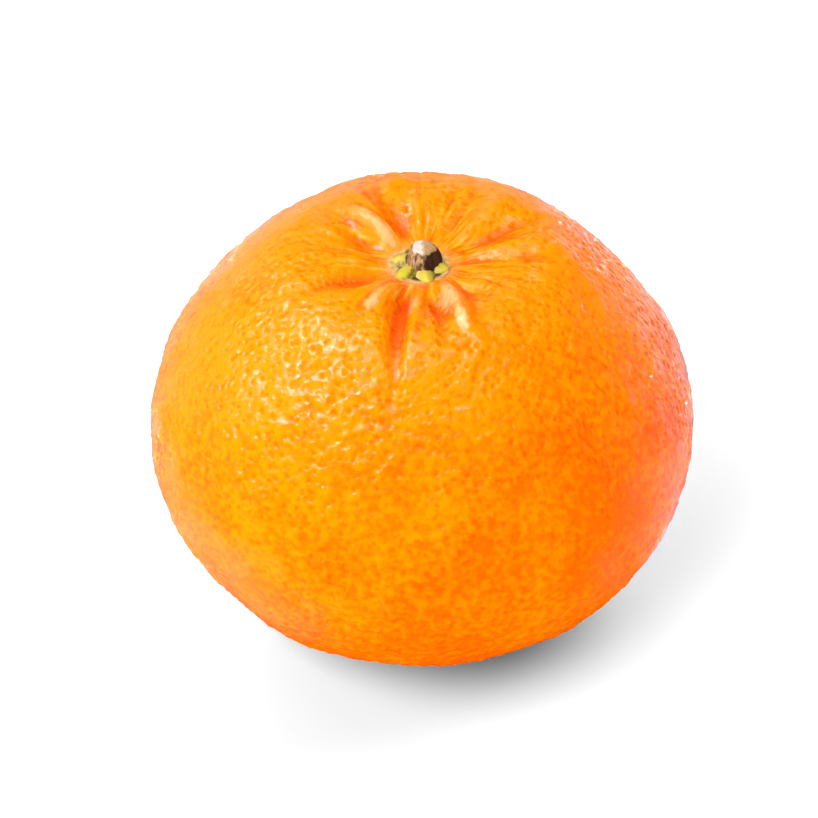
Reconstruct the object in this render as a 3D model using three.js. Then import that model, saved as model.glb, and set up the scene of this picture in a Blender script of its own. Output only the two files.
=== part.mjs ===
// A mandarin orange: a flattened, furrowed fruit with its lobed calyx and the stub of its cut stem.
// Units are millimetres and +Z is up. The origin is the middle of the flat spot that the fruit rests on.

import * as THREE from 'three';

// ---- Driving dimensions -------------------------------------------------------------------------

// The fruit's widest section is a circle of this radius. Its outline is in units of that radius:
// at radius r, each half stands height * sqrt(1 - r^power) above or below the widest section.
// The base's power makes both halves equally curved where they meet.
const FRUIT_RADIUS = 31;
const CROWN = { height: 1.075, power: 1.124 };
const BASE_HEIGHT = 0.76;
const BASE = { height: BASE_HEIGHT, power: (CROWN.power * CROWN.height ** 2) / BASE_HEIGHT ** 2 };
const FLAT_SPOT_DEPTH = 0.735;

// The hollow round the stem: its floor, how fast it rises outwards, and how softly it meets the crown.
const HOLLOW = { floor: 0.733, rise: 0.95, blend: 0.3 };

// Furrows run outwards from the stem. Azimuths are degrees from +X, anticlockwise from above; start and
// end are radii in units of the fruit's radius; depth and width are in millimetres.
// A furrow of negative depth is a ridge.
const FURROWS = [
  { azimuth: 258, start: 0.13, end: 0.7, depth: 1.6, width: 1.1 },
  { azimuth: 261, start: 0.35, end: 0.85, depth: 0.7, width: 0.7 },
  { azimuth: 266, start: 0.14, end: 0.6, depth: -0.8, width: 0.9 },
  { azimuth: 280, start: 0.13, end: 0.62, depth: 1.3, width: 1.1 },
  { azimuth: 292, start: 0.12, end: 0.52, depth: -2, width: 1.3 },
  { azimuth: 308, start: 0.14, end: 0.5, depth: 0.6, width: 1.4 },
  { azimuth: 325, start: 0.13, end: 0.5, depth: -0.3, width: 1.8 },
  { azimuth: 345, start: 0.13, end: 0.5, depth: 0.4, width: 1.5 },
  { azimuth: 6, start: 0.13, end: 0.55, depth: -0.6, width: 1.6 },
  { azimuth: 26, start: 0.13, end: 0.6, depth: 1.2, width: 1.2 },
  { azimuth: 43, start: 0.12, end: 0.6, depth: -0.9, width: 1.5 },
  { azimuth: 62, start: 0.12, end: 0.5, depth: 0.8, width: 1.1 },
  { azimuth: 84, start: 0.12, end: 0.38, depth: 0.5, width: 0.8 },
  { azimuth: 95, start: 0.12, end: 0.38, depth: -0.5, width: 0.8 },
  { azimuth: 110, start: 0.12, end: 0.45, depth: 1.1, width: 1.2 },
  { azimuth: 137, start: 0.12, end: 0.44, depth: -2, width: 1.3 },
  { azimuth: 156, start: 0.12, end: 0.42, depth: 0.7, width: 1.3 },
  { azimuth: 172, start: 0.15, end: 0.5, depth: 0.4, width: 1.8 },
  { azimuth: 192, start: 0.14, end: 0.5, depth: -0.5, width: 1.6 },
  { azimuth: 209, start: 0.12, end: 0.6, depth: 1.1, width: 1.3 },
  { azimuth: 239, start: 0.14, end: 0.5, depth: -1.2, width: 1.4 },
];

// Gentle swellings and hollows of the whole fruit. Angles are in degrees and the rise is in millimetres.
const SWELLINGS = [
  { azimuth: 237, elevation: -36, spread: 11, rise: 0.55 },
  { azimuth: 218, elevation: -27, spread: 11, rise: -0.35 },
  { azimuth: 17, elevation: 9, spread: 10, rise: 0.35 },
  { azimuth: 34, elevation: 27, spread: 12, rise: -0.3 },
  { azimuth: 90, elevation: 50, spread: 14, rise: -0.3 },
  { azimuth: 312, elevation: -32, spread: 12, rise: 0.25 },
  { azimuth: 82, elevation: -22, spread: 30, rise: 0.5 },
  { azimuth: 140, elevation: -30, spread: 24, rise: -0.35 },
];

// The calyx lies in the hollow, and the stem stub stands on the calyx.
const PIECE_GAP = 0.3;
const CALYX = { bayRadius: 2.6, lobeWidth: 17, middle: 0.6, rim: 0.45 };
const CALYX_LOBES = [
  { azimuth: 115, radius: 3.0 },
  { azimuth: 174, radius: 3.2 },
  { azimuth: 233, radius: 4.0 },
  { azimuth: 279, radius: 3.9 },
  { azimuth: 334, radius: 3.2 },
];
const STUB = { radius: 1.9, topRadius: 1.1, height: 2.1, shoulder: 1.35 };
const STUB_PLACE = { right: 0.25, forwards: 0.35, lean: 0.08 };

const FRUIT_GRID = { segments: 108, rings: 40 };
const CALYX_GRID = { segments: 60, rings: 14 };
const STUB_SEGMENTS = 28;

// ---- The fruit's surface ------------------------------------------------------------------------

// How far a half of the outline stands from the widest section at radius r.
function halfHeight({ height, power }, r) {
  return height * Math.sqrt(Math.max(0, 1 - r ** power));
}

// The lower of two heights, with the corner between them rounded off.
function smoothMin(a, b, blend) {
  const overlap = Math.max(0, blend - Math.abs(a - b));
  return Math.min(a, b) - (overlap * overlap) / (4 * blend);
}

function hollowHeight(r) {
  return HOLLOW.floor + HOLLOW.rise * r * r;
}

function crownHeight(r) {
  return smoothMin(halfHeight(CROWN, r), hollowHeight(r), HOLLOW.blend);
}

// Sum of the furrows at azimuth and radius r. Each is deepest a third of the way along, fades to both
// ends and narrows outwards.
function furrowRelief(azimuth, r) {
  let relief = 0;
  for (const { azimuth: degrees, start, end, depth, width } of FURROWS) {
    const along = (r - start) / (end - start);
    const turn = azimuth - THREE.MathUtils.degToRad(degrees);
    if (along <= 0 || along >= 1 || Math.cos(turn) <= 0) continue;
    const fade = 6.75 * along * (1 - along) ** 2;
    const across = (r * Math.sin(turn) * FRUIT_RADIUS) / (width * (1.3 - 0.8 * along));
    relief -= depth * fade * Math.exp(-across * across);
  }
  return relief;
}

// Sum of the swellings in a direction from the fruit's centre.
function swellingRelief(direction) {
  let relief = 0;
  for (const { azimuth, elevation, spread, rise } of SWELLINGS) {
    const tilt = THREE.MathUtils.degToRad(elevation);
    const turn = THREE.MathUtils.degToRad(azimuth);
    const peak = new THREE.Vector3(Math.cos(turn), Math.sin(turn), Math.tan(tilt));
    const away = direction.angleTo(peak) / THREE.MathUtils.degToRad(spread);
    relief += rise * Math.exp(-away * away);
  }
  return relief;
}

// The rind, from the fruit's centre: the outline turned about the axis, its relief, and the flat spot.
function rindPoint(azimuth, polar) {
  const above = polar < Math.PI / 2;
  const r = Math.sin(polar);
  const height = above ? crownHeight(r) : -halfHeight(BASE, r);
  const point = new THREE.Vector3(r * Math.cos(azimuth), r * Math.sin(azimuth), height);
  point.multiplyScalar(FRUIT_RADIUS);
  const direction = point.clone().normalize();
  const relief = swellingRelief(direction) + (above ? furrowRelief(azimuth, r) : 0);
  point.addScaledVector(direction, relief);
  point.z = Math.max(point.z, -FLAT_SPOT_DEPTH * FRUIT_RADIUS);
  return point;
}

// ---- Geometry -----------------------------------------------------------------------------------

// A ball whose vertices are moved one by one: place gives the position for an azimuth and a polar angle.
function shapedBall({ segments, rings }, place) {
  const geometry = new THREE.SphereGeometry(1, segments, rings);
  geometry.rotateX(Math.PI / 2);
  const position = geometry.attributes.position;
  const onBall = new THREE.Vector3();
  for (let i = 0; i < position.count; i++) {
    onBall.fromBufferAttribute(position, i);
    const polar = Math.acos(THREE.MathUtils.clamp(onBall.z, -1, 1));
    const moved = place(Math.atan2(onBall.y, onBall.x), polar);
    position.setXYZ(i, moved.x, moved.y, moved.z);
  }
  geometry.computeVertexNormals();
  return geometry;
}

// Radius of the calyx's edge: bays between rounded lobes.
function calyxEdge(azimuth) {
  const { bayRadius, lobeWidth } = CALYX;
  let edge = bayRadius;
  for (const { azimuth: degrees, radius } of CALYX_LOBES) {
    const turn = 2 * Math.sin((azimuth - THREE.MathUtils.degToRad(degrees)) / 2);
    const across = turn / THREE.MathUtils.degToRad(lobeWidth);
    edge += (radius - bayRadius) * Math.exp(-across * across);
  }
  return edge;
}

// The calyx is a low dome with a rounded rim, and its underside follows the hollow a gap above the rind.
function calyxPoint(azimuth, polar) {
  const outwards = Math.sin(polar);
  const radius = outwards * calyxEdge(azimuth);
  const underside = hollowHeight(radius / FRUIT_RADIUS) * FRUIT_RADIUS + PIECE_GAP;
  const thickness = CALYX.middle + (CALYX.rim - CALYX.middle) * outwards * outwards;
  const side = Math.sign(Math.cos(polar)) * Math.sqrt(Math.abs(Math.cos(polar)));
  const height = underside + (thickness * (1 + side)) / 2;
  return new THREE.Vector3(radius * Math.cos(azimuth), radius * Math.sin(azimuth), height);
}

// The stub is a short turned peg with a chamfered cut end, set a little off the axis and leaning.
function stubGeometry() {
  const { radius, topRadius, height, shoulder } = STUB;
  const { right, forwards, lean } = STUB_PLACE;
  const profile = [
    new THREE.Vector2(0, 0),
    new THREE.Vector2(radius * 0.95, 0),
    new THREE.Vector2(radius, height * 0.2),
    new THREE.Vector2(radius * 0.97, shoulder),
    new THREE.Vector2(topRadius, height * 0.95),
    new THREE.Vector2(0, height),
  ];
  const geometry = new THREE.LatheGeometry(profile, STUB_SEGMENTS);
  geometry.rotateX(Math.PI / 2);
  const leaning = new THREE.Matrix4().makeShear(0, 0, 0, 0, -lean, 0);
  geometry.applyMatrix4(leaning);
  geometry.translate(right, -forwards, 0);
  return geometry;
}

// ---- The parts ----------------------------------------------------------------------------------

function mesh(name, geometry, material) {
  const part = new THREE.Mesh(geometry, new THREE.MeshStandardMaterial(material));
  part.name = name;
  return part;
}

function makeFruit() {
  return mesh('fruit', shapedBall(FRUIT_GRID, rindPoint), { color: 0xff9200, roughness: 0.42, metalness: 0 });
}

function makeCalyx() {
  return mesh('calyx', shapedBall(CALYX_GRID, calyxPoint), { color: 0xc9b83a, roughness: 0.6, metalness: 0 });
}

function makeStemStub() {
  const stub = mesh('stem_stub', stubGeometry(), { color: 0x6b4a2c, roughness: 0.8, metalness: 0 });
  stub.position.z = HOLLOW.floor * FRUIT_RADIUS + CALYX.middle + 2 * PIECE_GAP;
  return stub;
}

// The pieces are made about the fruit's centre, then set down with the flat spot at height 0 and the
// middle of the whole outline over the origin.
function makeMandarin() {
  const mandarin = new THREE.Group();
  mandarin.add(makeFruit(), makeCalyx(), makeStemStub());
  const middle = new THREE.Box3().setFromObject(mandarin).getCenter(new THREE.Vector3());
  mandarin.position.set(-middle.x, -middle.y, FLAT_SPOT_DEPTH * FRUIT_RADIUS);
  return mandarin;
}

export default makeMandarin();
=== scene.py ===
"""A mandarin orange on a pale floor: a pitted, furrowed peel, a lobed calyx and the stub of a cut stem.

Shapes are worked out in millimetres about the fruit's centre, then set down in the frame in metres.
"""

import math

import bpy
import numpy as np
from mathutils import Euler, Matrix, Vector


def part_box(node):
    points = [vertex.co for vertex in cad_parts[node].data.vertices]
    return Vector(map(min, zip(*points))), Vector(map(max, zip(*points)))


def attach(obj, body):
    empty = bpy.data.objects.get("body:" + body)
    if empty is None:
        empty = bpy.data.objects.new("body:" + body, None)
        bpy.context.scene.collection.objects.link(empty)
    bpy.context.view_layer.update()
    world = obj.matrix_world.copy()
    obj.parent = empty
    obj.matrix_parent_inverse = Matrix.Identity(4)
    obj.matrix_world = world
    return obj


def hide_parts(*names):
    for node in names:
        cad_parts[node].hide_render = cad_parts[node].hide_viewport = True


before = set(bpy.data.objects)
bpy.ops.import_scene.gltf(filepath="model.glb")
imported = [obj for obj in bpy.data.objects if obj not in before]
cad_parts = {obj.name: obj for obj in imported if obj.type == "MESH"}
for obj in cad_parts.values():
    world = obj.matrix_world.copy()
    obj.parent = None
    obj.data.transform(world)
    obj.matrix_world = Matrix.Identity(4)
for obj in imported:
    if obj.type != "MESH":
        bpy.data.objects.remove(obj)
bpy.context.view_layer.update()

MM = 0.001

# ---- Driving dimensions, the same as the frame's ------------------------------------------------

# At radius r, each half stands height * sqrt(1 - r^power) from the widest section, in fruit radii.
FRUIT_RADIUS = 31.0
CROWN_HEIGHT, CROWN_POWER = 1.075, 1.124
BASE_HEIGHT = 0.76
BASE_POWER = CROWN_POWER * CROWN_HEIGHT**2 / BASE_HEIGHT**2
FLAT_SPOT_DEPTH = 0.735
HOLLOW_FLOOR, HOLLOW_RISE, HOLLOW_BLEND = 0.733, 0.95, 0.3

# Furrows from the stem: azimuth in degrees, start and end in fruit radii, depth and width in mm.
# A furrow of negative depth is a ridge.
FURROWS = [
    (258, 0.13, 0.70, 1.6, 1.1),
    (261, 0.35, 0.85, 0.7, 0.7),
    (266, 0.14, 0.60, -0.8, 0.9),
    (280, 0.13, 0.62, 1.3, 1.1),
    (292, 0.12, 0.52, -2.0, 1.3),
    (308, 0.14, 0.50, 0.6, 1.4),
    (325, 0.13, 0.50, -0.3, 1.8),
    (345, 0.13, 0.50, 0.4, 1.5),
    (6, 0.13, 0.55, -0.6, 1.6),
    (26, 0.13, 0.60, 1.2, 1.2),
    (43, 0.12, 0.60, -0.9, 1.5),
    (62, 0.12, 0.50, 0.8, 1.1),
    (84, 0.12, 0.38, 0.5, 0.8),
    (95, 0.12, 0.38, -0.5, 0.8),
    (110, 0.12, 0.45, 1.1, 1.2),
    (137, 0.12, 0.44, -2.0, 1.3),
    (156, 0.12, 0.42, 0.7, 1.3),
    (172, 0.15, 0.50, 0.4, 1.8),
    (192, 0.14, 0.50, -0.5, 1.6),
    (209, 0.12, 0.60, 1.1, 1.3),
    (239, 0.14, 0.50, -1.2, 1.4),
]

# Swellings of the whole fruit: azimuth, elevation and spread in degrees, rise in mm.
SWELLINGS = [
    (237, -36, 11, 0.55),
    (218, -27, 11, -0.35),
    (17, 9, 10, 0.35),
    (34, 27, 12, -0.3),
    (90, 50, 14, -0.3),
    (312, -32, 12, 0.25),
    (82, -22, 30, 0.5),
    (140, -30, 24, -0.35),
]


# ---- Shape of the fruit -------------------------------------------------------------------------


def direction(azimuth, elevation):
    """A unit vector from angles in degrees: azimuth anticlockwise from +X, elevation above level."""
    return Euler((0.0, -math.radians(elevation), math.radians(azimuth))).to_matrix() @ Vector((1.0, 0.0, 0.0))


def smooth_min(a, b, blend):
    """The lower of a and b, with the corner between them rounded off."""
    overlap = np.maximum(0.0, blend - np.abs(a - b))
    return np.minimum(a, b) - overlap**2 / (4.0 * blend)


def hollow_height(r):
    return HOLLOW_FLOOR + HOLLOW_RISE * r**2


def crown_height(r):
    crown = CROWN_HEIGHT * np.sqrt(np.maximum(0.0, 1.0 - r**CROWN_POWER))
    return smooth_min(crown, hollow_height(r), HOLLOW_BLEND)


def base_height(r):
    return -BASE_HEIGHT * np.sqrt(np.maximum(0.0, 1.0 - r**BASE_POWER))


def furrow_relief(azimuth, r):
    """Sum of the furrows in mm: each is deepest a third of the way along, fades to both ends and narrows."""
    relief = np.zeros_like(r)
    for degrees, start, end, depth, width in FURROWS:
        along = np.clip((r - start) / (end - start), 0.0, 1.0)
        turn = azimuth - math.radians(degrees)
        across = r * np.sin(turn) * FRUIT_RADIUS / (width * (1.3 - 0.8 * along))
        fade = 6.75 * along * (1.0 - along) ** 2 * (np.cos(turn) > 0.0)
        relief -= depth * fade * np.exp(-across**2)
    return relief


def swelling_relief(directions):
    """Sum of the swellings in mm, in directions from the fruit's centre."""
    relief = np.zeros(len(directions))
    for azimuth, elevation, spread, rise in SWELLINGS:
        peak = np.array(direction(azimuth, elevation))
        away = np.arccos(np.clip(directions @ peak, -1.0, 1.0)) / math.radians(spread)
        relief += rise * np.exp(-away**2)
    return relief


def peel_points(azimuth, polar):
    """Points of the smooth peel in mm from the fruit's centre."""
    above = polar < math.pi / 2.0
    r = np.sin(polar)
    height = np.where(above, crown_height(r), base_height(r))
    points = FRUIT_RADIUS * np.stack([r * np.cos(azimuth), r * np.sin(azimuth), height], axis=1)
    directions = points / np.linalg.norm(points, axis=1, keepdims=True)
    relief = swelling_relief(directions) + above * furrow_relief(azimuth, r)
    points += directions * relief[:, None]
    points[:, 2] = np.maximum(points[:, 2], -FLAT_SPOT_DEPTH * FRUIT_RADIUS)
    return points


def fruit_centre():
    """The fruit's centre in the frame: over the middle of its CAD box, above the flat spot."""
    low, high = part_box("fruit")
    azimuth = np.linspace(0.0, 2.0 * math.pi, 361)
    waist = [np.full_like(azimuth, math.radians(polar)) for polar in range(60, 121, 2)]
    outline = np.concatenate([peel_points(azimuth, polar) for polar in waist])
    middle = (outline.min(axis=0) + outline.max(axis=0)) / 2.0 * MM
    x = (low[0] + high[0]) / 2.0 - middle[0]
    y = (low[1] + high[1]) / 2.0 - middle[1]
    return Vector((x, y, low[2] + FLAT_SPOT_DEPTH * FRUIT_RADIUS * MM))


centre = fruit_centre()

# ---- Meshes -------------------------------------------------------------------------------------


def mesh_object(name, points, faces, made):
    """A smooth-shaded mesh object at the origin, from points in metres and a material."""
    mesh = bpy.data.meshes.new(name)
    mesh.from_pydata(points.tolist(), [], faces)
    mesh.shade_smooth()
    mesh.materials.append(made)
    piece = bpy.data.objects.new(name, mesh)
    bpy.context.scene.collection.objects.link(piece)
    return piece


def set_attribute(piece, name, values):
    """Give each point of a mesh its own value, for its material to read."""
    attribute = piece.data.attributes.new(name, "FLOAT", "POINT")
    attribute.data.foreach_set("value", values.astype(np.float32))


def cube_ball(cells):
    """A cube with cells by cells faces a side blown up to a ball: its directions and its quads."""
    steps = np.tan(np.linspace(-math.pi / 4.0, math.pi / 4.0, cells + 1))
    u, v = np.meshgrid(steps, steps, indexing="ij")
    corner = np.arange(cells)[:, None] * (cells + 1) + np.arange(cells)
    quad = np.stack([corner, corner + cells + 1, corner + cells + 2, corner + 1], axis=-1).reshape(-1, 4)
    points, faces = [], []
    for axis in range(3):
        for side in (-1.0, 1.0):
            grid = np.stack([np.full_like(u, side), u * side, v], axis=-1).reshape(-1, 3)
            points.append(np.roll(grid, axis, axis=1))
            faces.append(quad + (2 * axis + (side > 0)) * (cells + 1) ** 2)
    points = np.concatenate(points)
    points /= np.linalg.norm(points, axis=1, keepdims=True)
    _, first, same = np.unique(np.round(points, 6), axis=0, return_index=True, return_inverse=True)
    return points[first], same.reshape(-1)[np.concatenate(faces)].tolist()


def polar_ball(segments, rings):
    """Azimuths and polar angles of a globe's grid, one point at each pole, and its faces."""
    azimuth = np.tile(np.arange(segments) * 2.0 * math.pi / segments, rings - 1)
    polar = np.repeat(np.arange(1, rings) * math.pi / rings, segments)
    top, bottom = len(azimuth), len(azimuth) + 1
    last = (rings - 2) * segments
    faces = []
    for i in range(segments):
        j = (i + 1) % segments
        faces.append((top, i, j))
        faces.append((bottom, last + j, last + i))
        for row in range(0, last, segments):
            faces.append((row + i, row + segments + i, row + segments + j, row + j))
    return np.append(azimuth, (0.0, 0.0)), np.append(polar, (0.0, math.pi)), faces


def round_level(polar, power):
    """Level of a plate's skin, from 1 on top to -1 below: the smaller the power, the sharper its rim."""
    return np.sign(np.cos(polar)) * np.abs(np.cos(polar)) ** power


def grown(name, points, faces, made, node):
    """A piece from points in mm about the fruit's centre, in place of the node of the frame."""
    piece = mesh_object(name, points * MM + np.array(centre), faces, made)
    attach(piece, "root")
    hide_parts(node)
    return piece


# ---- Node helpers -------------------------------------------------------------------------------

# Noise runs from 0 to 1 about this middle, and mostly stays between these two.
NOISE_LOW, NOISE_MIDDLE, NOISE_HIGH = 0.3, 0.5, 0.7


def add(tree, kind, inputs=None, **settings):
    """Add a node. Inputs maps a socket's name or number to a value or to a socket to link from."""
    node = tree.nodes.new(kind)
    for name, value in settings.items():
        setattr(node, name, value)
    for name, value in (inputs or {}).items():
        if isinstance(value, bpy.types.NodeSocket):
            tree.links.new(value, node.inputs[name])
        else:
            node.inputs[name].default_value = value
    return node


def maths(tree, operation, a, b=0.0):
    return add(tree, "ShaderNodeMath", {0: a, 1: b}, operation=operation).outputs[0]


def total(tree, first, *others):
    for other in others:
        first = maths(tree, "ADD", first, other)
    return first


def product(tree, first, *others):
    for other in others:
        first = maths(tree, "MULTIPLY", first, other)
    return first


def vector_maths(tree, operation, a, b=(0.0, 0.0, 0.0)):
    return add(tree, "ShaderNodeVectorMath", {0: a, 1: b}, operation=operation).outputs[0]


def dot(tree, a, b):
    return add(tree, "ShaderNodeVectorMath", {0: a, 1: b}, operation="DOT_PRODUCT").outputs["Value"]


def length(tree, vector):
    return add(tree, "ShaderNodeVectorMath", {0: vector}, operation="LENGTH").outputs["Value"]


def smooth_step(tree, value, low, high, at_low=0.0, at_high=1.0):
    """A smooth change from at_low to at_high as the value goes from low to high."""
    inputs = {"Value": value, "From Min": low, "From Max": high, "To Min": at_low, "To Max": at_high}
    return add(tree, "ShaderNodeMapRange", inputs, interpolation_type="SMOOTHSTEP").outputs["Result"]


def noise(tree, place, size, detail):
    """Noise from 0 to 1 whose bumps are about this size in mm."""
    inputs = {"Vector": place, "Scale": 1.0 / (size * MM), "Detail": detail}
    return add(tree, "ShaderNodeTexNoise", inputs).outputs["Fac"]


def swing(tree, place, size, detail, low, high):
    """Noise of this size in mm that swings between low and high."""
    return smooth_step(tree, noise(tree, place, size, detail), NOISE_LOW, NOISE_HIGH, low, high)


def centred_noise(tree, place, size, height, detail):
    """Unevenness of both signs, with bumps of this size and height in mm, given in metres."""
    raised = maths(tree, "SUBTRACT", noise(tree, place, size, detail), NOISE_MIDDLE)
    return maths(tree, "MULTIPLY", raised, height * MM)


def ragged(tree, place, away, size, height, detail):
    """A distance made uneven, so that an edge drawn at it is ragged."""
    return maths(tree, "ADD", away, centred_noise(tree, place, size, height, detail))


def cell_distance(tree, place, size):
    """Distance to the nearest of random points that lie about this size in mm apart, in that size."""
    inputs = {"Vector": place, "Scale": 1.0 / (size * MM)}
    return add(tree, "ShaderNodeTexVoronoi", inputs).outputs["Distance"]


def mix(tree, factor, a, b):
    """Colour a where the factor is 0, and b where it is 1."""
    return add(tree, "ShaderNodeMix", {0: factor, 6: a, 7: b}, data_type="RGBA").outputs[2]


def attribute(tree, name):
    return add(tree, "ShaderNodeAttribute", attribute_name=name).outputs["Fac"]


def shifted(tree, place, shift):
    return vector_maths(tree, "SUBTRACT", place, tuple(shift))


def from_axis(tree, place):
    """A place's distance from the fruit's axis, its direction from it, and its height over the middle."""
    parts = add(tree, "ShaderNodeSeparateXYZ", {0: shifted(tree, place, centre)}).outputs
    flat = add(tree, "ShaderNodeCombineXYZ", {0: parts[0], 1: parts[1]}).outputs[0]
    return length(tree, flat), vector_maths(tree, "NORMALIZE", flat), parts[2]


def material(name):
    """A new material with its node tree, its shader and its object coordinates."""
    made = bpy.data.materials.new(name)
    made.use_nodes = True
    tree = made.node_tree
    shader = tree.nodes["Principled BSDF"]
    place = add(tree, "ShaderNodeTexCoord").outputs["Object"]
    return made, tree, shader, place


def bump(tree, shader, height, strength):
    """Give a shader bumps of this height in metres."""
    node = add(tree, "ShaderNodeBump", {"Height": height, "Strength": strength, "Distance": 1.0})
    tree.links.new(node.outputs["Normal"], shader.inputs["Normal"])


# ---- Peel ---------------------------------------------------------------------------------------

# The peel's grid: faces along each edge of the blown-up cube, and how much closer they lie at the stem.
PEEL_CELLS = 124
CROWN_DENSITY = 0.12

# Relief in mm. Glands lie about a pitch apart, and each dimple reaches out to a share of the pitch.
# A wander moves the glands about, and each unevenness has a size and a height.
GLAND_PITCH, GLAND_DEPTH, DIMPLE_REACH = 0.86, 0.23, 0.62
WANDER_SIZE, WANDER = 1.7, 0.5
GRAIN_SIZE, GRAIN_HEIGHT = 0.34, 0.1
UNDULATION_SIZE, UNDULATION_HEIGHT = 1.4, 0.56
BROAD_SIZE, BROAD_HEIGHT = 7.0, 0.6

# Folds run outwards from the stem: their size, and how far from the axis they are full grown and have
# faded, all in mm. Streaks of colour run as folds do, but start nearer the stem: partly the peel's own
# colour, and partly painted shade in the folds' hollows and painted light on their crests.
FOLDS = {"size": 2.4, "grown_by": 8.0, "faded_by": 18.0}
FOLD_SHADE_STREAKS = {"size": 2.4, "grown_by": 3.8, "faded_by": 18.0}
FINE_FOLDS = {"size": 0.8, "grown_by": 3.6, "faded_by": 16.0}

# Each fold starts this far from the axis. Folds are noise of this height on a ring of this radius, in mm,
# and change more slowly along their way from the stem.
FOLD_START, FOLD_HEIGHT, FOLD_RING = 2.8, 3.0, 12.0
FOLD_STRETCH = 0.22

# Relief is calmer this near a furrow or a ridge, in mm. It's calmer round the stem too: calmest up to
# STEM_NEAR mm from the axis, and full from STEM_FAR mm on.
BEND_REACH = 0.7
STEM_NEAR, STEM_FAR = 5.0, 12.0

# Added in mm to a distance from the axis that is divided by, so that it's never 0.
AXIS_MARGIN = 1.0

# What belongs to the crown alone fades in over these heights in mm above the middle of the fruit.
CROWN_RELIEF_FADE, CROWN_COLOUR_FADE = 8.0, 5.0

# The orange drifts to a deeper tone along a direction, from one to another place in mm, partly its own tone
# and partly painted shade towards the bottom and the right. Wide patches differ from that, also partly
# painted
# light and shade: azimuth, elevation and spread in degrees, and how much deeper their orange is.
TONE_AND_SHADE_DRIFT, TONE_AND_SHADE_DRIFT_START, TONE_AND_SHADE_DRIFT_END = (0.35, -0.3, -0.85), -28.0, 26.0
TONE_AND_SHADE_PATCHES = [(328, 48, 34, -0.2), (90, 88, 50, -0.2), (315, 26, 30, 0.33)]

# Painted highlights, pale spots on the ridges where they catch the light: azimuth in degrees, distance from
# the axis, half length and half width in mm.
HIGHLIGHT_SPOTS = [
    (139, 5.6, 2.0, 0.9),
    (241, 11.0, 1.5, 0.7),
    (264, 9.0, 2.2, 0.6),
    (288, 9.3, 2.5, 0.95),
    (289, 13.2, 1.8, 0.7),
]

# Specks lie about this many mm apart: full out to the first share of that, and gone at the second.
SPECK_PITCH, SPECK_RADII = 7.0, (0.025, 0.045)

DEEP_ORANGE = (0.95, 0.105, 0.0005, 1.0)
YELLOW_ORANGE = (0.95, 0.22, 0.0005, 1.0)
RED_ORANGE = (0.88, 0.06, 0.0005, 1.0)
CREST_LIGHT_YELLOW = (0.95, 0.42, 0.05, 1.0)
CREAM = (0.85, 0.38, 0.15, 1.0)
TAN = (0.42, 0.26, 0.11, 1.0)
SPECK_BROWN = (0.30, 0.09, 0.01, 1.0)
DARK_BROWN_AND_SHADE = (0.035, 0.018, 0.008, 1.0)

# Scars are discs painted over each other: full out to the first radius in mm, gone at the second, with
# a strength and a colour. The scar round the calyx lies a little off the axis, and its dark brown middle
# under the calyx is partly painted shade.
CALYX_SCAR = [(4.0, 5.0, 0.12, CREAM), (3.4, 4.0, 0.6, TAN), (2.4, 3.0, 0.95, DARK_BROWN_AND_SHADE)]
CALYX_SCAR_SHIFT = (-0.3 * MM, -0.6 * MM, 0.0)

# The style's scar is a dent in the flat spot. Its colours come in between these heights in mm.
STYLE_SCAR = [(1.0, 1.7, 0.9, TAN), (0.3, 0.9, 0.9, DARK_BROWN_AND_SHADE)]
STYLE_SCAR_RADIUS, STYLE_SCAR_DEPTH = 1.3, 0.5
STYLE_SCAR_HEIGHTS = (-18.0, -20.0)

# Refractive index of the waxy skin, and its sheen, which is weaker in the pits than between them.
SKIN_IOR = 1.46
SHEEN_IN_PITS, SHEEN_BETWEEN = 0.0, 0.28


def gland_distance(tree, place):
    """Distance to the nearest gland, in gland pitches."""
    inputs = {"Vector": place, "Scale": 1.0 / (WANDER_SIZE * MM), "Detail": 1.0}
    colour = add(tree, "ShaderNodeTexNoise", inputs).outputs["Color"]
    centred = vector_maths(tree, "SUBTRACT", colour, (NOISE_MIDDLE,) * 3)
    moved = vector_maths(tree, "MULTIPLY", centred, (WANDER * MM,) * 3)
    return cell_distance(tree, vector_maths(tree, "ADD", place, moved), GLAND_PITCH)


def gland_height(tree, place):
    """Height in metres of the dimpled surface: a dimple over each gland, some deeper than others."""
    dimple = smooth_step(tree, gland_distance(tree, place), 0.0, DIMPLE_REACH, 1.0, 0.0)
    uneven = swing(tree, place, size=3.5, detail=2.0, low=0.6, high=1.4)
    return product(tree, uneven, -GLAND_DEPTH * MM, away_from_stem(tree, place, 0.4), dimple)


def away_from_stem(tree, place, least):
    """1 over most of the peel, falling to least round the stem, where the peel is smoother."""
    away, _, height = from_axis(tree, place)
    near = smooth_step(tree, away, STEM_NEAR * MM, STEM_FAR * MM, 1.0 - least, 0.0)
    above = smooth_step(tree, height, 0.0, CROWN_RELIEF_FADE * MM)
    return maths(tree, "SUBTRACT", 1.0, product(tree, near, above))


def fold_height(tree, place, size, grown_by, faded_by, detail):
    """Height in metres of the folds that run outwards from the stem."""
    away, outwards, height = from_axis(tree, place)
    ring = vector_maths(tree, "MULTIPLY", outwards, (FOLD_RING * MM,) * 3)
    along = add(tree, "ShaderNodeCombineXYZ", {2: product(tree, away, FOLD_STRETCH)}).outputs[0]
    folds = centred_noise(tree, vector_maths(tree, "ADD", ring, along), size, FOLD_HEIGHT, detail)
    grows = smooth_step(tree, away, FOLD_START * MM, grown_by * MM)
    fades = smooth_step(tree, away, 0.4 * faded_by * MM, faded_by * MM, 1.0, 0.0)
    above = smooth_step(tree, height, 0.0, CROWN_RELIEF_FADE * MM)
    return product(tree, grows, fades, above, folds)


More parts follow.
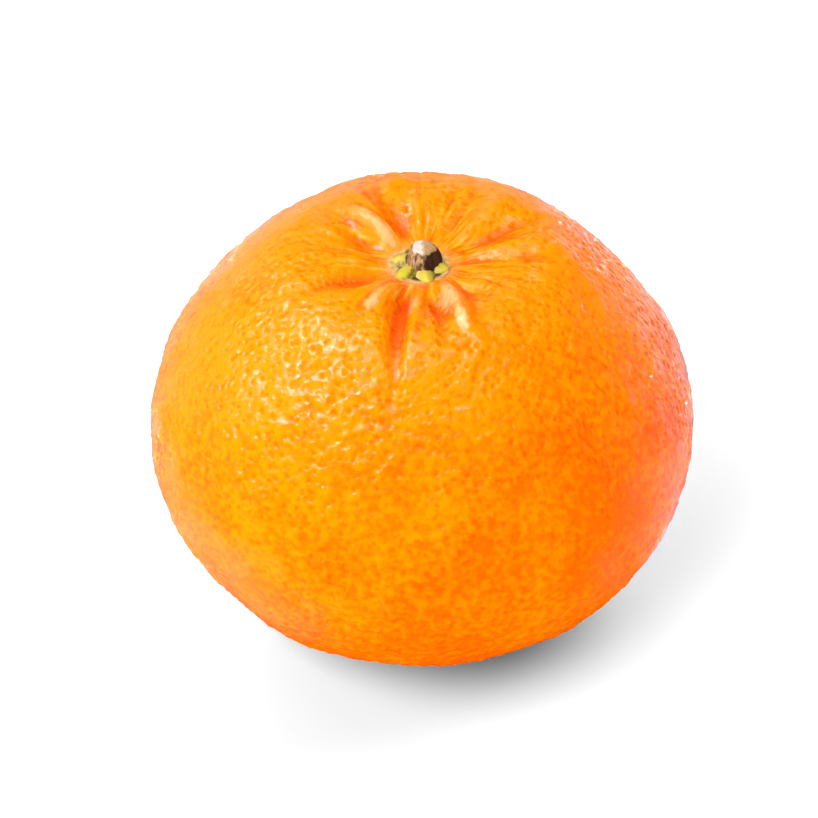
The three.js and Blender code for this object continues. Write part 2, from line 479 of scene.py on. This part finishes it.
def relief_height(tree, place):
    """Height in metres of the peel's relief. All but the broad unevenness is calmer where the peel bends."""
    undulation = centred_noise(tree, place, UNDULATION_SIZE, UNDULATION_HEIGHT, detail=1.0)
    undulation = product(tree, undulation, away_from_stem(tree, place, 0.3))
    folds = fold_height(tree, place, **FOLDS, detail=1.0)
    bent = add(tree, "GeometryNodeInputNamedAttribute", {"Name": "bent"}, data_type="FLOAT").outputs[0]
    calm = smooth_step(tree, bent, 0.1, 0.9, 1.0, 0.2)
    height = product(tree, total(tree, gland_height(tree, place), folds, undulation), calm)
    return total(tree, height, centred_noise(tree, place, BROAD_SIZE, BROAD_HEIGHT, detail=1.0))


def press_relief(piece):
    """Move each point of the peel along its normal by the relief."""
    tree = bpy.data.node_groups.new("peel_relief", "GeometryNodeTree")
    tree.interface.new_socket("Geometry", in_out="INPUT", socket_type="NodeSocketGeometry")
    tree.interface.new_socket("Geometry", in_out="OUTPUT", socket_type="NodeSocketGeometry")
    source = add(tree, "NodeGroupInput").outputs[0]
    height = relief_height(tree, add(tree, "GeometryNodeInputPosition").outputs[0])
    inputs = {0: add(tree, "GeometryNodeInputNormal").outputs[0], "Scale": height}
    offset = add(tree, "ShaderNodeVectorMath", inputs, operation="SCALE").outputs[0]
    moved = add(tree, "GeometryNodeSetPosition", {"Geometry": source, "Offset": offset}).outputs[0]
    add(tree, "NodeGroupOutput", {0: moved})
    modifier = piece.modifiers.new("peel_relief", "NODES")
    modifier.node_group = tree
    depsgraph = bpy.context.evaluated_depsgraph_get()
    pressed = bpy.data.meshes.new_from_object(piece.evaluated_get(depsgraph))
    piece.modifiers.clear()
    piece.data = pressed
    bpy.data.node_groups.remove(tree)


def peel_tone_and_shade(tree, place):
    """The orange's tone with painted light and shade, from yellower at 0 to deeper at 1, and the fine folds
    that streak it.
    """
    apart = shifted(tree, place, centre)
    # Painted light and shade over the orange's own tone: the drift deepens the bottom and right, the patches
    # lighten or deepen wide areas.
    along = dot(tree, apart, TONE_AND_SHADE_DRIFT)
    tone_and_shade = smooth_step(tree, along, TONE_AND_SHADE_DRIFT_START * MM, TONE_AND_SHADE_DRIFT_END * MM, 0.0, 0.78)
    outwards = vector_maths(tree, "NORMALIZE", apart)
    for azimuth, elevation, spread, deeper in TONE_AND_SHADE_PATCHES:
        along = dot(tree, outwards, tuple(direction(azimuth, elevation)))
        patch = smooth_step(tree, along, math.cos(math.radians(spread)), 1.0, 0.0, deeper)
        tone_and_shade = total(tree, tone_and_shade, patch)
    patches = swing(tree, place, size=9.0, detail=3.0, low=-0.25, high=0.25)
    flecks = swing(tree, place, size=0.9, detail=3.0, low=-0.32, high=0.32)
    # Painted light and shade of the folds, partly the peel's own colour: deeper orange in their hollows,
    # yellower on their crests.
    folds = fold_height(tree, place, **FOLD_SHADE_STREAKS, detail=2.5)
    streaks = smooth_step(tree, folds, -0.5 * MM, 0.5 * MM, 0.9, -0.9)
    fine_folds = fold_height(tree, place, **FINE_FOLDS, detail=2.5)
    fine_fold_shade = smooth_step(tree, fine_folds, -0.4 * MM, 0.4 * MM, 0.6, -0.6)
    return total(tree, tone_and_shade, patches, flecks, streaks, fine_fold_shade), fine_folds


def painted_highlight_spots(tree, place):
    """How strongly the peel is painted pale as a highlight, from 1 in the middle of a spot to 0 outside them.

    The distance from a spot's middle counts its half length or half width as 1, so its unevenness, which
    is given in mm elsewhere, is divided by MM.
    """
    apart = shifted(tree, place, centre)
    highlight = 0.0
    for degrees, reach, half_length, half_width in HIGHLIGHT_SPOTS:
        x, y = math.cos(math.radians(degrees)), math.sin(math.radians(degrees))
        u = dot(tree, apart, (x / (half_length * MM), y / (half_length * MM), 0.0))
        v = dot(tree, apart, (-y / (half_width * MM), x / (half_width * MM), 0.0))
        u = maths(tree, "SUBTRACT", u, reach / half_length)
        away = length(tree, add(tree, "ShaderNodeCombineXYZ", {0: u, 1: v}).outputs[0])
        away = ragged(tree, place, away, size=0.7, height=1.2 / MM, detail=3.0)
        highlight = maths(tree, "MAXIMUM", highlight, smooth_step(tree, away, 0.4, 1.1, 1.0, 0.0))
    return highlight


def paint_ridge_highlights(tree, place, colour, above):
    """Painted highlights: the crests of the ridges are pale in patches, and some have a pale spot."""
    highlight = smooth_step(tree, noise(tree, place, size=1.8, detail=2.0), 0.42, 0.62, 0.1, 0.45)
    crest = smooth_step(tree, attribute(tree, "ridge"), 0.6, 1.8)
    colour = mix(tree, product(tree, highlight, crest), colour, CREAM)
    return mix(tree, product(tree, above, 0.85, painted_highlight_spots(tree, place)), colour, CREAM)


def paint_discs(tree, colour, away, discs, where):
    """Paint a scar's discs over a colour, as strongly as where says."""
    for full, gone, strength, tint in discs:
        disc = smooth_step(tree, away, full * MM, gone * MM, strength, 0.0)
        colour = mix(tree, product(tree, disc, where), colour, tint)
    return colour


def peel_colour(tree, place):
    """Orange with gland dots, brown specks and a scar at each end, and painted light and shade: red furrows,
    pale ridges and a deeper tone towards the bottom and right.
    """
    away, _, height = from_axis(tree, place)
    tone_and_shade, fine_folds = peel_tone_and_shade(tree, place)
    colour = mix(tree, tone_and_shade, YELLOW_ORANGE, DEEP_ORANGE)
    # Painted light: the crests of the fine folds are yellower.
    lit_crests = smooth_step(tree, fine_folds, 0.1 * MM, 0.7 * MM, 0.0, 0.7)
    colour = mix(tree, lit_crests, colour, CREST_LIGHT_YELLOW)
    dots = smooth_step(tree, gland_distance(tree, place), 0.1, 0.42, 0.34, 0.0)
    colour = mix(tree, product(tree, dots, away_from_stem(tree, place, 0.3)), colour, RED_ORANGE)
    # Painted shade: the furrows are painted a deeper red, the colour of the light bounced round their
    # hollows.
    furrows = smooth_step(tree, attribute(tree, "furrow"), 0.15, 1.3, 0.0, 0.85)
    colour = mix(tree, furrows, colour, RED_ORANGE)

    above = smooth_step(tree, height, 0.0, CROWN_COLOUR_FADE * MM)
    colour = paint_ridge_highlights(tree, place, colour, above)
    specks = smooth_step(tree, cell_distance(tree, place, SPECK_PITCH), *SPECK_RADII, 0.7, 0.0)
    colour = mix(tree, specks, colour, SPECK_BROWN)

    below = smooth_step(tree, height, STYLE_SCAR_HEIGHTS[0] * MM, STYLE_SCAR_HEIGHTS[1] * MM)
    away = ragged(tree, place, away, size=0.8, height=0.8, detail=3.0)
    colour = paint_discs(tree, colour, away, STYLE_SCAR, below)
    away, _, _ = from_axis(tree, shifted(tree, place, CALYX_SCAR_SHIFT))
    away = ragged(tree, place, away, size=0.9, height=0.9, detail=3.0)
    return paint_discs(tree, colour, away, CALYX_SCAR, above)


def peel_material():
    """A waxy skin, duller in the furrows and inside the pits, with fine bumps over the relief."""
    made, tree, shader, place = material("peel")
    tree.links.new(peel_colour(tree, place), shader.inputs["Base Color"])
    waxy = swing(tree, place, size=3.0, detail=3.0, low=0.15, high=0.23)
    furrows = smooth_step(tree, attribute(tree, "furrow"), 0.2, 1.0, 0.0, 0.2)
    pits = smooth_step(tree, gland_distance(tree, place), 0.15, 0.45, 0.08, 0.0)
    tree.links.new(total(tree, waxy, furrows, pits), shader.inputs["Roughness"])
    shader.inputs["IOR"].default_value = SKIN_IOR
    sheen = smooth_step(tree, gland_distance(tree, place), 0.2, 0.6, SHEEN_IN_PITS, SHEEN_BETWEEN)
    tree.links.new(sheen, shader.inputs["Specular IOR Level"])
    dimples = product(tree, gland_height(tree, place), 0.65)
    grain = centred_noise(tree, place, GRAIN_SIZE, GRAIN_HEIGHT, detail=2.0)
    folds = product(tree, fold_height(tree, place, **FINE_FOLDS, detail=1.0), 0.03)
    bump(tree, shader, total(tree, dimples, grain, folds), 0.85)
    return made


def style_dent(vertex):
    """Height in metres that the style's scar dents the flat spot at a vertex."""
    if vertex.co.z >= centre.z:
        return 0.0
    away = math.hypot(vertex.co.x - centre.x, vertex.co.y - centre.y) / (STYLE_SCAR_RADIUS * MM)
    return STYLE_SCAR_DEPTH * MM * math.exp(-away**4)


def make_peel():
    directions, faces = cube_ball(PEEL_CELLS)
    polar = np.arccos(np.clip(directions[:, 2], -1.0, 1.0))
    polar -= CROWN_DENSITY * np.sin(polar)
    azimuth = np.arctan2(directions[:, 1], directions[:, 0])
    points = peel_points(azimuth, polar) * MM + np.array(centre)
    piece = mesh_object("peel", points, faces, peel_material())
    above = polar < math.pi / 2.0
    r = np.sin(polar)
    relief = furrow_relief(azimuth, r) * above
    beside = BEND_REACH / (r * FRUIT_RADIUS + AXIS_MARGIN)
    bent = [np.abs(furrow_relief(azimuth + turn, r)) for turn in (-beside, beside)]
    set_attribute(piece, "bent", np.maximum(*bent) * above)
    set_attribute(piece, "furrow", np.clip(-relief, 0.0, None))
    set_attribute(piece, "ridge", np.clip(relief, 0.0, None))
    press_relief(piece)
    for vertex in piece.data.vertices:
        vertex.co.z = max(vertex.co.z, 0.0) + style_dent(vertex)
    piece.visible_diffuse = False
    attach(piece, "root")
    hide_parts("fruit")
    return piece


# ---- Calyx --------------------------------------------------------------------------------------

# Lobes of the calyx: azimuth and half width in degrees, and radius of the tip in mm.
LOBES = [(115, 36, 2.9), (174, 38, 3.2), (231, 30, 4.3), (281, 31, 4.1), (334, 34, 3.3)]
BAY_RADIUS = 2.35
COLLAR_RADIUS, COLLAR_HEIGHT = 1.85, 0.7
BAY_HEIGHT, TIP_HEIGHT, LOBE_RIDGE = 0.12, 0.25, 0.45
LOBES_GRID = {"segments": 240, "rings": 64}

# The dry disc under the lobes has a dark middle a little off the axis, partly its own dark brown and partly
# painted shade between and under the lobes.
DISC_RADIUS, DISC_HEIGHT = 3.5, 0.16
SHADE_MIDDLE_SHIFT = (-0.1 * MM, -0.9 * MM, 0.0)
DISC_GRID = {"segments": 240, "rings": 40}

# How far lobes and disc reach down into the peel, in mm.
LOBES_SUNK, DISC_SUNK = 0.15, 0.12

LEAF_YELLOW = (0.48, 0.40, 0.02, 1.0)
LEAF_OLIVE_SHADE = (0.13, 0.10, 0.005, 1.0)
LEAF_CREAM = (0.52, 0.42, 0.15, 1.0)
LEAF_TAN = (0.50, 0.30, 0.06, 1.0)
LEAF_BROWN = (0.08, 0.035, 0.012, 1.0)
DRY_CREAM = (0.60, 0.42, 0.16, 1.0)
DRY_TAN = (0.42, 0.24, 0.07, 1.0)


def lobe_outline(azimuth):
    """A lobe's strength at an azimuth, from 1 on its midrib to 0 in the bays, its side, and the edge."""
    strength = np.zeros_like(azimuth)
    side = np.zeros_like(azimuth)
    edge = np.full_like(azimuth, BAY_RADIUS)
    for degrees, half_width, tip in LOBES:
        turn = 2.0 * np.sin((azimuth - math.radians(degrees)) / 2.0) / math.radians(half_width)
        lobe = np.clip(1.0 - np.abs(turn) ** 1.4, 0.0, 1.0)
        side = np.where(lobe > strength, np.clip(turn / 0.7, -1.0, 1.0), side)
        strength = np.maximum(strength, lobe)
        edge = np.maximum(edge, BAY_RADIUS + (tip - BAY_RADIUS) * lobe**1.3)
    return strength, side, edge


def on_hollow(radius, azimuth, height):
    """Points at a height over the smooth floor of the stem's hollow."""
    rind = hollow_height(radius / FRUIT_RADIUS) * FRUIT_RADIUS
    return np.stack([radius * np.cos(azimuth), radius * np.sin(azimuth), rind + height], axis=1)


def lobe_points(azimuth, polar):
    """A collar round the stem that spreads into thick, roof-shaped lobes."""
    lobe, _, edge = lobe_outline(azimuth)
    radius = np.sin(polar) ** 0.3 * edge
    outwards = np.clip((radius - COLLAR_RADIUS) / (edge - COLLAR_RADIUS + 0.05), 0.0, 1.0)
    brim = BAY_HEIGHT + (TIP_HEIGHT - BAY_HEIGHT) * lobe
    top = COLLAR_HEIGHT + (brim - COLLAR_HEIGHT) * outwards**1.2
    top += LOBE_RIDGE * (lobe - 0.4) * np.sin(math.pi * np.minimum(1.0, 0.2 + 0.75 * outwards))
    top += 0.04 * np.sin(3.0 * azimuth + 1.0) + 0.03 * np.sin(7.0 * azimuth)
    share = (1.0 + round_level(polar, 0.25)) / 2.0
    return on_hollow(radius, azimuth, -LOBES_SUNK + (top + LOBES_SUNK) * share)


def disc_points(azimuth, polar):
    """The dry scarred disc under the lobes: a thin ragged plate, a little off the axis."""
    edge = 0.12 * np.sin(5.0 * azimuth + 0.6) + 0.07 * np.sin(13.0 * azimuth) + 0.05 * np.sin(31.0 * azimuth)
    radius = np.sin(polar) * (DISC_RADIUS + edge)
    wrinkles = 0.03 * np.sin(23.0 * azimuth + 3.0 * np.sin(2.0 * azimuth)) * np.sin(polar)
    share = (1.0 + round_level(polar, 0.7)) / 2.0
    height = -DISC_SUNK + (DISC_HEIGHT + wrinkles + DISC_SUNK) * share
    x = radius * np.cos(azimuth) + CALYX_SCAR_SHIFT[0] / MM
    y = radius * np.sin(azimuth) + CALYX_SCAR_SHIFT[1] / MM
    return on_hollow(np.hypot(x, y), np.arctan2(y, x), height)


def calyx_material():
    """Yellow lobes, cream on one side of each midrib and olive painted shade on the other, with painted shade
    at the stem.

    The side runs from -1 to 1 across a lobe, so the height of its mottle is divided by MM.
    """
    made, tree, shader, place = material("calyx")
    mottle = centred_noise(tree, place, size=0.6, height=1.0 / MM, detail=2.0)
    side = total(tree, attribute(tree, "side"), mottle)
    # Painted shade: one side of each lobe is olive.
    colour = mix(tree, smooth_step(tree, side, 0.2, 0.8), LEAF_YELLOW, LEAF_OLIVE_SHADE)
    colour = mix(tree, smooth_step(tree, side, -0.9, -0.5, 0.8, 0.0), colour, LEAF_CREAM)
    faded = smooth_step(tree, noise(tree, place, size=0.9, detail=2.0), 0.5, 0.62, 0.0, 0.6)
    colour = mix(tree, faded, colour, LEAF_TAN)
    dry = smooth_step(tree, noise(tree, place, size=0.5, detail=3.0), 0.62, 0.7, 0.0, 0.8)
    colour = mix(tree, dry, colour, LEAF_BROWN)
    away, _, _ = from_axis(tree, place)
    # Painted shade at the foot of the stem stub.
    root = smooth_step(tree, away, 1.75 * MM, 1.9 * MM, 0.9, 0.0)
    tree.links.new(mix(tree, root, colour, DARK_BROWN_AND_SHADE), shader.inputs["Base Color"])
    shader.inputs["Roughness"].default_value = 0.5
    shader.inputs["Specular IOR Level"].default_value = 0.25
    bump(tree, shader, centred_noise(tree, place, size=0.25, height=0.06, detail=3.0), 0.5)
    return made


def disc_material():
    """Dry cream and tan, dark in the middle, partly painted shade between and under the lobes, and orange
    where the rim runs into the peel.
    """
    made, tree, shader, place = material("calyx_scar")
    mottle = smooth_step(tree, noise(tree, place, size=0.5, detail=3.0), 0.3, 0.65)
    colour = mix(tree, mottle, DRY_CREAM, DRY_TAN)
    # Partly painted shade: the disc is dark in the middle, between and under the lobes.
    away, _, _ = from_axis(tree, shifted(tree, place, SHADE_MIDDLE_SHIFT))
    away = ragged(tree, place, away, size=0.7, height=0.9, detail=2.0)
    colour = mix(tree, smooth_step(tree, away, 2.3 * MM, 2.8 * MM, 0.95, 0.0), colour, DARK_BROWN_AND_SHADE)
    away, _, _ = from_axis(tree, shifted(tree, place, CALYX_SCAR_SHIFT))
    away = ragged(tree, place, away, size=0.7, height=0.9, detail=2.0)
    colour = mix(tree, smooth_step(tree, away, 3.1 * MM, 3.6 * MM, 0.0, 0.5), colour, YELLOW_ORANGE)
    tree.links.new(colour, shader.inputs["Base Color"])
    shader.inputs["Roughness"].default_value = 0.7
    shader.inputs["Specular IOR Level"].default_value = 0.2
    bump(tree, shader, centred_noise(tree, place, size=0.25, height=0.08, detail=3.0), 0.5)
    return made


def make_calyx_lobes():
    azimuth, polar, faces = polar_ball(**LOBES_GRID)
    points = lobe_points(azimuth, polar)
    piece = grown("calyx_lobes", points, faces, calyx_material(), "calyx")
    set_attribute(piece, "side", lobe_outline(azimuth)[1])
    return piece


def make_calyx_scar():
    azimuth, polar, faces = polar_ball(**DISC_GRID)
    points = disc_points(azimuth, polar)
    return grown("calyx_scar", points, faces, disc_material(), "calyx")


# ---- Stem stub ----------------------------------------------------------------------------------

# The stub's foot stands in the calyx. Polar angles up to STUB_SIDE make its top and side, and the rest
# its underside.
STUB_RADIUS, STUB_HEIGHT, STUB_SHIFT, STUB_LEAN = 1.9, 2.6, (0.25, -0.35), 0.08
STUB_SIDE = math.radians(120.0)
STUB_FOOT = HOLLOW_FLOOR * FRUIT_RADIUS + 0.6
STUB_GRID = {"segments": 180, "rings": 60}

# The cut end's colours start at this share of the stub's height.
CUT_RIM = 0.74

BARK_TAN = (0.50, 0.29, 0.13, 1.0)
BARK_BROWN = (0.12, 0.045, 0.02, 1.0)
BARK_SHADE = (0.022, 0.006, 0.004, 1.0)
CUT_LIT_GREY = (0.62, 0.50, 0.46, 1.0)
CUT_SHADE_BEIGE = (0.36, 0.20, 0.08, 1.0)


def stub_points(azimuth, polar):
    """A short blunt peg, squarer on one side, with uneven corners, bark ridges and a slanted cut end."""
    down = np.minimum(polar / STUB_SIDE, 1.0) * math.pi / 2.0
    under = np.clip((polar - STUB_SIDE) / (math.pi - STUB_SIDE), 0.0, 1.0)
    squareness = 0.88 - 0.22 * np.cos(azimuth)
    radius = np.sin(down) ** squareness * np.sqrt(1.0 - under)
    height = np.cos(down) ** squareness - 0.2 * np.sqrt(under)
    corners = 1.0 + 0.05 * np.cos(5.0 * azimuth + 0.8) + 0.03 * np.cos(3.0 * azimuth - 0.5)
    bark = np.clip((radius - 0.5) / 0.4, 0.0, 1.0)
    ridges = 1.0 + 0.03 * bark * np.cos(19.0 * azimuth + 2.0 * np.sin(3.0 * azimuth))
    radius = radius * corners * ridges * STUB_RADIUS
    x, y = radius * np.cos(azimuth), radius * np.sin(azimuth)
    z = height * STUB_HEIGHT + np.clip(height, 0.0, 1.0) * (-0.1 * x + 0.05 * y)
    return np.stack([x + STUB_SHIFT[0] - STUB_LEAN * z, y + STUB_SHIFT[1], STUB_FOOT + z], axis=1)


def stub_material():
    """Streaked bark with painted shade on the right, and a cut end painted pale grey on its lit left and
    beige on its shaded right.
    """
    made, tree, shader, place = material("stem")
    stretched = vector_maths(tree, "MULTIPLY", place, (1.0, 1.0, 0.2))
    streaks = smooth_step(tree, noise(tree, stretched, size=0.3, detail=3.0), 0.35, 0.65)
    bark = mix(tree, streaks, BARK_TAN, BARK_BROWN)
    parts = add(tree, "ShaderNodeSeparateXYZ", {0: shifted(tree, place, centre)}).outputs
    uneven = centred_noise(tree, place, size=0.6, height=1.0, detail=2.0)
    side = total(tree, parts[0], uneven)
    # Painted shade: the bark is dark on the right.
    colour = mix(tree, smooth_step(tree, side, 0.0, 0.5 * MM, 0.0, 0.95), bark, BARK_SHADE)
    rim = (STUB_FOOT + CUT_RIM * STUB_HEIGHT) * MM
    level = total(tree, parts[2], product(tree, uneven, 0.4))
    cut = smooth_step(tree, level, rim, rim + 0.2 * MM)
    # Painted light and shade: the cut end is pale grey on the left and beige on the right.
    pith = mix(tree, smooth_step(tree, side, -0.3 * MM, 0.5 * MM), CUT_LIT_GREY, CUT_SHADE_BEIGE)
    pith = mix(tree, product(tree, streaks, 0.5), pith, BARK_TAN)
    tree.links.new(mix(tree, cut, colour, pith), shader.inputs["Base Color"])
    shader.inputs["Roughness"].default_value = 0.65
    shader.inputs["Specular IOR Level"].default_value = 0.2
    bump(tree, shader, product(tree, streaks, 0.08 * MM), 0.8)
    return made


def make_stem_bark():
    azimuth, polar, faces = polar_ball(**STUB_GRID)
    points = stub_points(azimuth, polar)
    return grown("stem_bark", points, faces, stub_material(), "stem_stub")


# ---- Studio -------------------------------------------------------------------------------------

# The camera looks down at the fruit from this elevation, at this many fruit radii from its centre.
# The picture is this many fruit radii wide there, and its middle is shifted by shares of its width.
CAMERA_ELEVATION = 40.0
CAMERA_DISTANCE = 14.0
PICTURE_WIDTH = 3.026
PICTURE_SHIFT = (-0.0156, 0.0159)

# The floor's half width, and where it starts to fade to white and is white, in metres.
FLOOR_HALF = 1.5
FLOOR_FADE = (0.12, 0.35)
FLOOR_GREY = (0.9, 0.9, 0.9, 1.0)
WHITE = (1.0, 1.0, 1.0, 1.0)

# Square lights at a distance in metres from the fruit's centre: azimuth and elevation in degrees, side
# in metres and power in watts. Matt lights show the colours, and gloss lights are only reflected.
LIGHT_DISTANCE = 0.6
FRUIT_LIGHTS = [
    ("front", 270, 45, 0.45, 5.5, "matt"),
    ("left", 180, 45, 0.45, 3.7, "matt"),
    ("back", 90, 15, 0.45, 3.7, "matt"),
    ("right", 20, 15, 0.6, 1.6, "matt"),
    ("low_left", 190, -20, 0.45, 5.2, "matt"),
    ("low_right", 300, -45, 0.45, 4.6, "matt"),
    ("left_softbox", 184, 50, 0.24, 5.8, "gloss"),
    ("front_softbox", 300, 82, 0.28, 1.9, "gloss"),
    ("left_card", 165, 18, 0.4, 0.3, "gloss"),
    ("back_card", 95, 2, 0.6, 0.9, "gloss"),
    ("upper_right_card", 67, -10, 0.65, 0.42, "gloss"),
    ("right_card", 43, -24, 0.65, 1.6, "gloss"),
    ("right_rim", 58, -26, 0.4, 0.35, "gloss"),
    ("upper_left_rim", 112, -18, 0.5, 0.55, "gloss"),
    ("left_rim", 128, -39, 0.5, 1.1, "gloss"),
    ("lower_left_rim", 180, -50, 0.4, 0.5, "gloss"),
]

# The floor has its own lights, so that the shadow stays as faint as under a wide sky.
FLOOR_LIGHTS = [
    ("floor_back", 90, 12, 0.45, 6.8, "matt"),
    ("floor_left", 180, 12, 0.45, 2.6, "matt"),
    ("floor_right", 25, 38, 0.45, 3.3, "matt"),
    ("floor_corner", 135, 38, 0.45, 0.8, "matt"),
    ("floor_front", 225, 38, 0.45, 5.35, "matt"),
]


def face_fruit(thing, azimuth, elevation, distance):
    """Set a light or a camera in a direction from the fruit's centre, facing it."""
    towards = direction(azimuth, elevation)
    thing.location = centre + towards * distance
    thing.rotation_euler = towards.to_track_quat("Z", "Y").to_euler()
    bpy.context.scene.collection.objects.link(thing)


def make_floor():
    """A plain pale floor that fades to white far from the fruit."""
    made, tree, shader, place = material("floor")
    shader.inputs["Base Color"].default_value = FLOOR_GREY
    shader.inputs["Roughness"].default_value = 1.0
    shader.inputs["Specular IOR Level"].default_value = 0.0
    shader.inputs["Emission Color"].default_value = WHITE
    glow = smooth_step(tree, length(tree, place), *FLOOR_FADE)
    tree.links.new(glow, shader.inputs["Emission Strength"])
    corners = np.array([(-1.0, -1.0, 0.0), (1.0, -1.0, 0.0), (1.0, 1.0, 0.0), (-1.0, 1.0, 0.0)])
    floor = mesh_object("floor", FLOOR_HALF * corners, [(0, 1, 2, 3)], made)
    floor.visible_glossy = False
    floor.visible_shadow = False
    floor.visible_diffuse = False
    return floor


def make_light(lit, name, azimuth, elevation, side, power, seen_by):
    """A square soft light that faces the fruit, for the matt or the gloss of the pieces in lit alone."""
    data = bpy.data.lights.new(name, "AREA")
    data.size = side
    data.energy = power
    data.cycles.use_multiple_importance_sampling = False
    light = bpy.data.objects.new(name, data)
    light.visible_diffuse = seen_by == "matt"
    light.visible_glossy = seen_by == "gloss"
    light.visible_camera = False
    light.light_linking.receiver_collection = lit
    face_fruit(light, azimuth, elevation, LIGHT_DISTANCE)


def make_lights(name, pieces, lights):
    """Lights that light these pieces alone, through a collection of this name."""
    lit = bpy.data.collections.new(name)
    for piece in pieces:
        lit.objects.link(piece)
    for light in lights:
        make_light(lit, *light)


def make_world():
    """White where the camera looks past the floor, and dark to everything else."""
    world = bpy.data.worlds.new("studio")
    world.use_nodes = True
    tree = world.node_tree
    seen = add(tree, "ShaderNodeLightPath").outputs["Is Camera Ray"]
    tree.links.new(seen, tree.nodes["Background"].inputs["Strength"])
    tree.nodes["Background"].inputs["Color"].default_value = WHITE
    bpy.context.scene.world = world


def make_camera():
    data = bpy.data.cameras.new("camera")
    data.sensor_width = 36.0
    data.lens = data.sensor_width * CAMERA_DISTANCE / PICTURE_WIDTH
    data.shift_x, data.shift_y = PICTURE_SHIFT
    data.clip_start, data.clip_end = 0.01, 10.0
    camera = bpy.data.objects.new("camera", data)
    face_fruit(camera, -90.0, CAMERA_ELEVATION, CAMERA_DISTANCE * FRUIT_RADIUS * MM)
    bpy.context.scene.camera = camera


make_camera()
make_world()
pieces = [make_peel(), make_calyx_lobes(), make_calyx_scar(), make_stem_bark()]
floor = make_floor()
make_lights("on_fruit", pieces, FRUIT_LIGHTS)
make_lights("on_floor", [floor], FLOOR_LIGHTS)
bpy.context.scene.view_settings.view_transform = "Standard"
